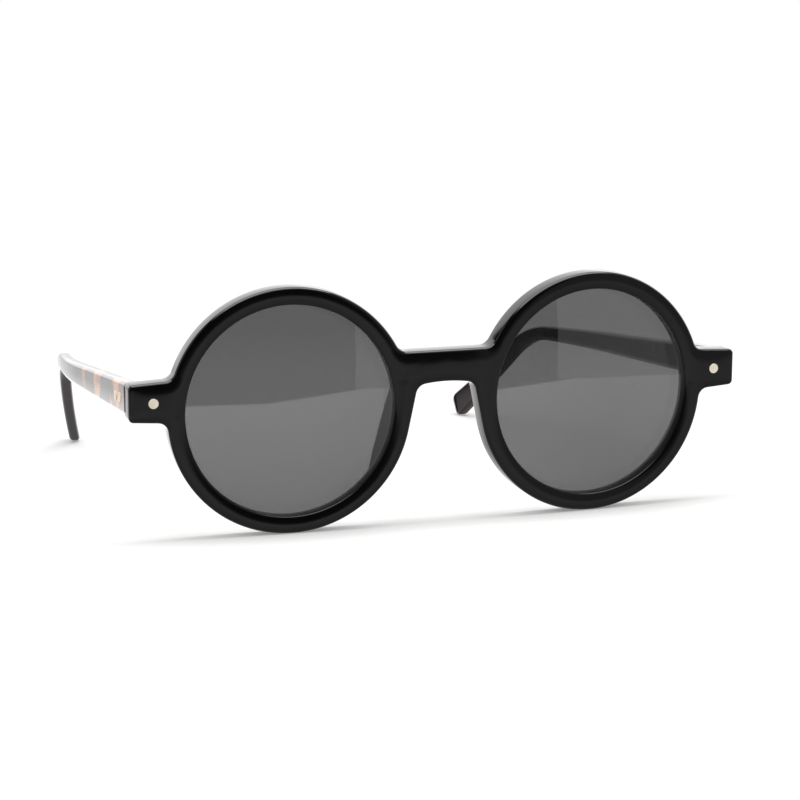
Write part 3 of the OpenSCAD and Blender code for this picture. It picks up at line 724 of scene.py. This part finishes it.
class BuildFront(Operator):
    """Builds the polished one-piece acetate front, with its grooves and hinge seats"""

    bl_idname = "sunglasses.build_front"
    bl_label = "Acetate front"

    def execute(self, context):
        scene = context.scene
        s, f, lens = scene.sunglasses_front, scene.sunglasses_fittings, scene.sunglasses_lenses
        place = front_place(scene)
        rows, count, on_edge, side_rows = front_points(s, lens)
        points, faces = [], []
        for side in (1, -1):
            base = len(points)
            for flat, depth in rows:
                points += [place(x, d, z, side) for (x, z), d in zip(flat, depth)]
            total = len(rows)
            for k in range(total):
                up = (k + 1) % total
                # No wall stands where the two halves meet
                inner = side_rows - 1 <= k < total - side_rows
                for i in range(count):
                    if not inner and i >= on_edge - 1:
                        continue
                    j = (i + 1) % count
                    quad = [base + k * count + i, base + k * count + j, base + up * count + j, base + up * count + i]
                    faces.append(tuple(quad if side > 0 else quad[::-1]))
        obj = piece("front_acetate", points, faces, "front", "black_acetate", ["front_frame"])
        seats = []
        half_w, half_h = f.front_plate_w / 2 + f.seat_play, f.plate_h / 2 + f.seat_play
        middle = end_x(s) - f.pin_inset
        for side in SIDES.values():
            seats.append(box(
                "seat", (middle - half_w, s.thick - f.plate_t - f.seat_play, f.hinge_z - half_h),
                (middle + half_w, s.thick + MM, f.hinge_z + half_h), lambda x, y, z, side=side: place(x, y, z, side),
            ))
        cut(obj, seats)
        # The lenses reflect the room over the front's edge, not the walls of their own openings
        obj.visible_glossy = False
        return {"FINISHED"}


class BuildLenses(Operator):
    """Builds the two tinted lenses with their bevelled edges"""

    bl_idname = "sunglasses.build_lenses"
    bl_label = "Lenses"

    def execute(self, context):
        scene = context.scene
        s, lens = scene.sunglasses_front, scene.sunglasses_lenses
        place = front_place(scene)
        face_d = lens.edge_depth - lens.thick / 2
        centre = face_d + math.sqrt(lens.curve_r**2 - s.opening_r**2)
        seat = s.opening_r + LENS_BITE / 2
        rings, turns = 26, 144
        radii = [seat * i / rings for i in range(rings + 1)]
        inner_r = lens.curve_r - lens.thick
        profile = [(r, centre - math.sqrt(lens.curve_r**2 - r * r)) for r in radii]
        profile += [(lens.edge_r, lens.edge_depth)]
        profile += [(r, centre - math.sqrt(inner_r**2 - r * r)) for r in radii[::-1]]
        for name, side in SIDES.items():
            points, faces = lathe(
                profile, turns, lambda x, d, z, side=side: place(s.half_spacing + x, d, z, side)
            )
            piece(f"lens_{name}_cast", points, faces, "front", "smoke_lens", [f"lens_{name}"])
        return {"FINISHED"}


class BuildPads(Operator):
    """Builds the two acetate nose pads behind the rims"""

    bl_idname = "sunglasses.build_pads"
    bl_label = "Nose pads"

    def execute(self, context):
        scene = context.scene
        s = scene.sunglasses_front
        place = front_place(scene)
        rim_r = s.opening_r + s.rim_w
        middle_r = s.opening_r + s.opening_edge_r + s.pad_w / 2 + HAIR
        rings, arc_steps, fullness = 56, 22, 0.75
        for name, side in SIDES.items():
            points = []
            for k in range(rings + 1):
                t = math.sin(math.pi * (k / rings - 0.5))
                a = math.pi + s.pad_turn + t * s.pad_length / 2 / rim_r
                h = max(HAIR, s.pad_h * max(0.0, 1 - t * t) ** fullness)
                for i in range(arc_steps + 1):
                    turn = math.pi * i / arc_steps
                    rise = h * math.sin(turn)
                    r = middle_r + s.pad_w / 2 * math.cos(turn) - rise * math.tan(s.pad_splay)
                    points.append(place(s.half_spacing + r * math.cos(a), s.thick + rise, r * math.sin(a), side))
            faces = skin_faces(rings + 1, arc_steps + 1)
            piece(f"pad_{name}_acetate", points, faces, "front", "black_acetate", [f"nose_pad_{name}"], 60.0)
        return {"FINISHED"}


def temple_place(scene):
    """Where the temple starts: x of its middle, the plane of its end, height, all in the frame."""
    s, f, t = scene.sunglasses_front, scene.sunglasses_fittings, scene.sunglasses_temples
    place = front_place(scene)
    outer = place(end_x(s), 0, 0).x
    joint = place(end_x(s) - t.joint_t / 2, s.thick, f.hinge_z)
    return Vector((outer + t.step - t.joint_t / 2, joint.y + t.joint_gap, PINS["temple_right"].z)), joint


def round_rect(w, h, r, steps=7):
    r = min(r, 0.49 * w, 0.49 * h)
    points = []
    for q in range(4):
        sx, sz = (1 if q in (0, 3) else -1), (1 if q < 2 else -1)
        for i in range(steps + 1):
            a = math.pi / 2 * (q + i / steps)
            points.append((sx * (w / 2 - r) + r * math.cos(a), sz * (h / 2 - r) + r * math.sin(a)))
    return points


class TemplePath:
    """The temple's centre line and section along it."""

    def __init__(self, scene):
        self.t = scene.sunglasses_temples
        self.start, self.joint = temple_place(scene)
        self.lean, self.wrap = scene.sunglasses_front.lean, scene.sunglasses_front.wrap
        self.bend = self.t.ear_bend_r * self.t.ear_turn
        self.length = self.t.run + self.bend + self.t.ear_length

    def at(self, s):
        """Place of the centre line and its slope at the distance s."""
        t = self.t
        a = t.drop + t.ear_turn * min(max((s - t.run) / self.bend, 0.0), 1.0)
        past = max(0.0, s - t.run - self.bend)
        v = min(s, t.run) * math.cos(t.drop) + t.ear_bend_r * (math.sin(a) - math.sin(t.drop))
        v += past * math.cos(t.drop + t.ear_turn)
        z = -min(s, t.run) * math.sin(t.drop) - t.ear_bend_r * (math.cos(t.drop) - math.cos(a))
        z -= past * math.sin(t.drop + t.ear_turn)
        inward = v * math.tan(t.toe) + max(0.0, v - t.side_run) ** 2 / (2 * t.side_curve_r)
        return self.start + Vector((-inward, v, z)), a

    def size(self, s):
        t = self.t
        if s < t.run:
            h = t.joint_h + (t.ear_h - t.joint_h) * (s / t.run) ** t.narrowing
        else:
            h = t.ear_h + (t.tip_h - t.ear_h) * ((s - t.run) / (self.length - t.run)) ** t.flare
        over = max(0.0, (s - self.length + t.tip_round) / t.tip_round)
        k = math.sqrt(max(0.0, 1 - over * over))
        return k * (t.joint_t + (t.tip_t - t.joint_t) * s / self.length), k * h

    def ring(self, s):
        centre, a = self.at(s)
        return [
            centre + Vector((x, z * math.sin(a), z * math.cos(a))) for x, z in round_rect(*self.size(s), self.t.edge_r)
        ]

    def end_ring(self, back, shrink):
        """A ring parallel to the back of the end piece."""
        t = self.t
        ring = []
        for x, z in round_rect(t.joint_t - 2 * shrink, t.joint_h - 2 * shrink, t.edge_r - shrink):
            p = self.start + Vector((x, back, z))
            p.y += (p.x - self.joint.x) * math.tan(self.wrap) - (p.z - self.joint.z) * math.tan(self.lean)
            ring.append(p)
        return ring

    def on_start(self):
        """Frame of the straight run: X outwards, Y along it, Z up."""
        turn = Matrix.Rotation(self.t.toe, 4, "Z") @ Matrix.Rotation(-self.t.drop, 4, "X")
        return Matrix.Translation(self.start) @ turn


def mirrored(p, side):
    return Vector((side * p[0], p[1], p[2]))


class BuildTemples(Operator):
    """Builds the two tortoise temples with their hinge seats"""

    bl_idname = "sunglasses.build_temples"
    bl_label = "Temples"

    def execute(self, context):
        scene = context.scene
        f = scene.sunglasses_fittings
        path = TemplePath(scene)
        t = path.t
        turns = np.linspace(0, math.pi / 2, 5)
        rings = [path.end_ring(t.end_r * (1 - math.cos(a)), t.end_r * (1 - math.sin(a))) for a in turns]
        run_rings, bend_rings, ear_rings, tip_rings = 60, 20, 22, 14
        # The first ring lies clear of the rounded end, and the last stops short of a point
        clear, nearly = 1.0 * MM, math.radians(87)
        stations = list(np.linspace(clear, t.run, run_rings))
        stations += list(t.run + np.linspace(0, path.bend, bend_rings)[1:])
        stations += list(t.run + path.bend + np.linspace(0, t.ear_length - t.tip_round, ear_rings)[1:])
        stations += [path.length - t.tip_round * (1 - math.sin(a)) for a in np.linspace(0, nearly, tip_rings)[1:]]
        rings += [path.ring(s) for s in stations]
        frame_of = path.on_start()
        for name, side in SIDES.items():
            points = [mirrored(p, side) for ring in rings for p in ring]
            obj = piece(
                f"temple_{name}_acetate", points, skin_faces(len(rings), len(rings[0])),
                f"temple_{name}", "tortoise_acetate", [f"temple_{name}"],
            )
            half_h = f.temple_plate_h / 2 + f.seat_play
            seat = box(
                "seat", (-t.joint_t / 2 - MM, -MM, -half_h),
                (-t.joint_t / 2 + f.plate_t + f.seat_play, f.temple_plate_end + f.seat_play, half_h),
                lambda x, y, z, side=side: mirrored(frame_of @ Vector((x, y, z)), side),
            )
            cut(obj, [seat])
        return {"FINISHED"}


class BuildRivets(Operator):
    """Builds the rivets of the end pieces and temples, with rolled heads"""

    bl_idname = "sunglasses.build_rivets"
    bl_label = "Rivets"

    def execute(self, context):
        scene = context.scene
        s, f = scene.sunglasses_front, scene.sunglasses_fittings
        place = front_place(scene)
        path = TemplePath(scene)
        frame_of = path.on_start()
        dome, dome_steps, edge_steps, turns = 0.03 * MM, 6, 5, 64
        temple_turns = 48
        rim = f.head_r - f.head_round

        def profile(depth):
            crown = [
                (rim * i / dome_steps, -f.head_proud - dome * (1 - (i / dome_steps) ** 2)) for i in range(dome_steps)
            ]
            edge = quarter((rim, f.head_round - f.head_proud), (f.head_round, -f.head_round), 90, 0, edge_steps)
            return crown + edge + [(f.head_r, f.head_sunk), (f.shank_r, f.head_sunk), (f.shank_r, depth), (0, depth)]

        for name, side in SIDES.items():
            middle = end_x(s) - f.pin_inset
            points, faces = lathe(
                profile(s.thick - f.plate_t / 2), turns,
                lambda x, d, z, side=side: place(middle + x, d, f.front_rivet_z + z, side),
            )
            piece(f"rivet_front_{name}", points, faces, "front", "champagne_metal", [f"front_rivet_{name}"], 50.0)
            points, faces = [], []
            for i in range(2):
                along = f.temple_rivet_from + i * f.temple_rivet_step

                def on_temple(x, d, z):
                    return mirrored(frame_of @ Vector((path.t.joint_t / 2 - d, along + x, z)), side)

                more, quads = lathe(profile(path.t.joint_t - HAIR), temple_turns, on_temple)
                faces += [tuple(len(points) + v for v in q) for q in quads]
                points += more
            piece(
                f"rivets_temple_{name}", points, faces, f"temple_{name}", "champagne_metal",
                [f"temple_rivets_{name}"], 50.0,
            )
        return {"FINISHED"}


class BuildHinges(Operator):
    """Breaks the sharp edges of the hinge leaves and screws, and finishes the wire cores"""

    bl_idname = "sunglasses.build_hinges"
    bl_label = "Hinges"

    def execute(self, context):
        f = context.scene.sunglasses_fittings
        # Points this near are welded, faces this flat are joined, and edges this sharp are broken
        weld, flat, sharp = 2e-6, math.radians(1.0), math.radians(40)
        for name in SIDES:
            for cad_node, body in (
                (f"hinge_front_leaf_{name}", "front"),
                (f"hinge_screw_{name}", "front"),
                (f"hinge_temple_leaf_{name}", f"temple_{name}"),
            ):
                mesh = frame["nodes"][cad_node].data.copy()
                obj = bpy.data.objects.new(f"{cad_node}_milled", mesh)
                context.scene.collection.objects.link(obj)
                made = bmesh.new()
                made.from_mesh(mesh)
                bmesh.ops.remove_doubles(made, verts=made.verts, dist=weld)
                bmesh.ops.dissolve_limit(made, angle_limit=flat, verts=made.verts, edges=made.edges)
                made.to_mesh(mesh)
                made.free()
                bevel = obj.modifiers.new("broken edge", "BEVEL")
                bevel.width = f.metal_edge
                bevel.segments = 2
                bevel.limit_method = "ANGLE"
                bevel.angle_limit = sharp
                apply_modifiers(obj)
                dress(obj, body, "steel_metal", [cad_node], 30.0)
            core = frame["nodes"][f"temple_core_{name}"]
            core.data.materials.clear()
            core.data.materials.append(finish("steel_metal"))
        return {"FINISHED"}


# The room that only the gloss sees, by direction. Each line has a start and an end along one axis, and mostly the
# two values there. The floor ends at a height that depends on the way to the side, and is duller on the right
FLOOR_LINE, FLOOR_LINE_RIGHT = (0.1, 0.45, -0.22, -0.184), (0.5, 0.75, 0.0, -0.01)
FLOOR_LINE_W = (-0.004, 0.004)
FLOOR_FADE, FLOOR_DULLER = (0.0, 0.33), (0.25, 0.55, 1.0, 0.82)
GREY_RIGHT = (0.44, 0.5, 0.0)
# White behind, with black cloth on its left and grey further round
BACK_FROM, CLOTH_END, ROUND_CLOTH = (-0.25, 0.1), (-0.44, -0.34), (-0.73, -0.62, 0.5, 0.0)
BACK_LIGHT = 1.8
# Height in the room behind, and how much of its light is left there: the table lies in the glasses' own shade
HEIGHTS = (-0.8, 0.2)
SHADE = ((0.0, 0.17), (0.4, 0.55), (0.53, 1.0), (0.59, 1.0), (0.656, 0.55), (0.8, 0.55), (0.88, 1.0))
ABOVE = (0.78, 0.84, 0.0, 3.5)
# Where the table turns to plain white, out from its middle
WHITE_FROM = (0.16, 0.3)


def stage_object(name, corners, material):
    mesh = bpy.data.meshes.new(name)
    mesh.from_pydata(corners, [], [(0, 1, 2, 3)])
    mesh.materials.append(material)
    obj = bpy.data.objects.new(name, mesh)
    bpy.context.scene.collection.objects.link(obj)
    return obj


def looked_at(tree):
    """The light path, and 1 for light that only looks: from the camera or through the lenses."""
    light = node(tree, "LightPath").outputs
    return light, node(tree, "Math", [light["Is Camera Ray"], light["Is Transmission Ray"]], operation="MAXIMUM")


class BuildStage(Operator):
    """Sets the table, the soft light, the dark room in front that the gloss reflects, and the camera"""

    bl_idname = "sunglasses.build_stage"
    bl_label = "Stage and camera"

    def execute(self, context):
        scene = context.scene
        stage = scene.sunglasses_stage
        self.table(stage, scene.sunglasses_finishes)
        self.card(stage)
        self.room(scene, stage)
        self.lamp(scene, stage)
        self.camera(scene, stage)
        scene.view_settings.view_transform = "Standard"
        return {"FINISHED"}

    def table(self, stage, colours):
        # Matt card that keeps the shadow, and shows white further out wherever it is looked at
        material, tree = new_finish("table card, matt white")
        seen = looked_at(tree)[1]
        where = node(tree, "TexCoord").outputs["Object"]
        # Paper tooth, far finer than a pixel, drawn 0.6 mm wide and very faint
        tooth = node(tree, "TexNoise", {"Vector": where, "Scale": per(0.6), "Detail": 3.0})
        bump = node(tree, "Bump", {"Height": tooth, "Distance": 0.01 * MM, "Strength": 0.5})
        matt = node(tree, "BsdfDiffuse", {"Color": colours.table, "Normal": bump})
        glow = node(tree, "Math", [seen, stage.table_glow], operation="MULTIPLY")
        shine = node(tree, "Emission", {"Strength": glow})
        near = node(tree, "AddShader", [matt, shine])
        away = node(tree, "VectorMath", [where], operation="LENGTH").outputs["Value"]
        outer = node(tree, "MapRange", [away, *WHITE_FROM], interpolation_type="SMOOTHSTEP")
        far = node(tree, "Math", [seen, outer], operation="MULTIPLY")
        node(tree, "OutputMaterial", [node(tree, "MixShader", [far, near, node(tree, "Emission")])])
        material.cycles.emission_sampling = "NONE"
        half = stage.table_size / 2
        corners = [(-half, -half, 0), (half, -half, 0), (half, half, 0), (-half, half, 0)]
        table = stage_object("table", corners, material)
        # Gloss takes the floor from the room below, where its far edge is drawn
        table.visible_glossy = False

    def card(self, stage):
        # Grey card beside the camera, seen only as a reflection on the right of each lens, down to the floor's edge
        material, tree = new_finish("grey card, reflected")
        node(tree, "OutputMaterial", [node(tree, "Emission", {"Strength": stage.card_glow})])
        material.cycles.emission_sampling = "NONE"
        left, right, back, top = 0.206, 1.9, -0.55, 0.9
        corners = [(left, back, -0.066), (right, back, -0.25), (right, back, top), (left, back, top)]
        card = stage_object("grey_card", corners, material)
        card.visible_camera = card.visible_diffuse = card.visible_transmission = False
        card.visible_shadow = card.visible_volume_scatter = False

    def room(self, scene, stage):
        # White to the camera and through the lenses. In gloss: a pale floor that ends 11 to 13 degrees below the
        # horizon, a dark room over it in front, grey to the right, and white behind and above
        world = bpy.data.worlds.new("studio")
        world.use_nodes = True
        scene.world = world
        tree = world.node_tree
        tree.nodes.clear()
        light, seen = looked_at(tree)
        way = node(tree, "SeparateXYZ", [node(tree, "TexCoord").outputs["Generated"]]).outputs
        straight = node(tree, "MapRange", [way["X"], *FLOOR_LINE])
        bent = node(tree, "MapRange", [way["X"], *FLOOR_LINE_RIGHT])
        floor_end = node(tree, "Math", [straight, bent], operation="ADD")
        below = node(tree, "Math", [floor_end, way["Z"]], operation="SUBTRACT")
        pale = node(tree, "MapRange", [below, *FLOOR_LINE_W])
        fading = node(tree, "MapRange", [below, *FLOOR_FADE, stage.floor_near, stage.floor_low])
        duller = node(tree, "MapRange", [way["X"], *FLOOR_DULLER])
        for less in (fading, duller):
            pale = node(tree, "Math", [pale, less], operation="MULTIPLY")
        behind = node(tree, "MapRange", [way["Y"], *BACK_FROM], interpolation_type="SMOOTHSTEP")
        edge = node(tree, "MapRange", [way["X"], *CLOTH_END], interpolation_type="SMOOTHSTEP")
        round_it = node(tree, "MapRange", [way["X"], *ROUND_CLOTH], interpolation_type="SMOOTHSTEP")
        cloth = node(tree, "Math", [edge, round_it], operation="ADD")
        shade = node(tree, "ValToRGB", [node(tree, "MapRange", [way["Z"], *HEIGHTS])], greys(SHADE))
        for less in (cloth, shade, BACK_LIGHT):
            behind = node(tree, "Math", [behind, less], operation="MULTIPLY")
        right = node(tree, "MapRange", [way["X"], *GREY_RIGHT, stage.card_glow])
        above = node(tree, "MapRange", [way["Z"], *ABOVE], interpolation_type="SMOOTHSTEP")
        bright = pale
        for other in (right, behind, above):
            bright = node(tree, "Math", [bright, other], operation="MAXIMUM")
        lit = node(tree, "Mix", {0: light["Is Glossy Ray"], 2: stage.fill, 3: bright}, data_type="FLOAT")
        strength = node(tree, "Mix", {0: seen, 2: lit, 3: 1.0}, data_type="FLOAT")
        shine = node(tree, "Background", {"Color": linear("#ffffff"), "Strength": strength})
        node(tree, "OutputWorld", [shine])
        world.cycles.sampling_method = "NONE"

    def lamp(self, scene, stage):
        # Long and narrow, straight above the front: a thin shadow under the front, hardly any under the temples
        lamp = bpy.data.lights.new("strip light", "AREA")
        lamp.shape = "RECTANGLE"
        lamp.size = stage.lamp_length
        lamp.size_y = stage.lamp_width
        lamp.energy = stage.lamp_power
        obj = bpy.data.objects.new("strip_light", lamp)
        aside, behind, height = 0.05, 0.005, 1.0
        obj.location = (aside, CAD_BOX[0].y + behind, height)
        obj.visible_camera = False
        scene.collection.objects.link(obj)

    def camera(self, scene, stage):
        camera = bpy.data.cameras.new("camera")
        camera.lens = stage.focal
        camera.sensor_width = 36.0
        camera.clip_start, camera.clip_end = 0.01, 20.0
        obj = bpy.data.objects.new("camera", camera)
        at, target = Vector(stage.camera_at), Vector(stage.look_at)
        turn = (target - at).to_track_quat("-Z", "Y").to_matrix().to_4x4()
        obj.matrix_world = Matrix.Translation(at) @ turn @ Matrix.Rotation(stage.roll, 4, "Z")
        scene.collection.objects.link(obj)
        scene.camera = obj


BUILDERS = (BuildFront, BuildLenses, BuildPads, BuildTemples, BuildRivets, BuildHinges, BuildStage)
GROUPS = {
    "sunglasses_front": FrontSizes,
    "sunglasses_lenses": LensSizes,
    "sunglasses_temples": TempleSizes,
    "sunglasses_fittings": FittingSizes,
    "sunglasses_finishes": Finishes,
    "sunglasses_stage": StageSizes,
}


class SunglassesPanel(Panel):
    """Lists the pieces of the sunglasses and their sizes and colours"""

    bl_idname = "VIEW3D_PT_sunglasses"
    bl_label = "Round sunglasses"
    bl_space_type = "VIEW_3D"
    bl_region_type = "UI"
    bl_category = "Sunglasses"

    def draw(self, context):
        layout = self.layout
        for builder in BUILDERS:
            layout.operator(builder.bl_idname)
        for name, group in GROUPS.items():
            column = layout.column(align=True)
            column.label(text=name.split("_")[1].capitalize())
            for field in group.__annotations__:
                column.prop(getattr(context.scene, name), field)


def register():
    for group in GROUPS.values():
        bpy.utils.register_class(group)
    for name, group in GROUPS.items():
        setattr(bpy.types.Scene, name, PointerProperty(type=group))
    for builder in BUILDERS:
        bpy.utils.register_class(builder)
    bpy.utils.register_class(SunglassesPanel)


def unregister():
    bpy.utils.unregister_class(SunglassesPanel)
    for builder in reversed(BUILDERS):
        bpy.utils.unregister_class(builder)
    for name in GROUPS:
        delattr(bpy.types.Scene, name)
    for group in reversed(list(GROUPS.values())):
        bpy.utils.unregister_class(group)


def main():
    register()
    bpy.ops.sunglasses.build_stage()
    bpy.ops.sunglasses.build_front()
    bpy.ops.sunglasses.build_lenses()
    bpy.ops.sunglasses.build_pads()
    bpy.ops.sunglasses.build_temples()
    bpy.ops.sunglasses.build_rivets()
    bpy.ops.sunglasses.build_hinges()


if __name__ == "__main__":
    main()
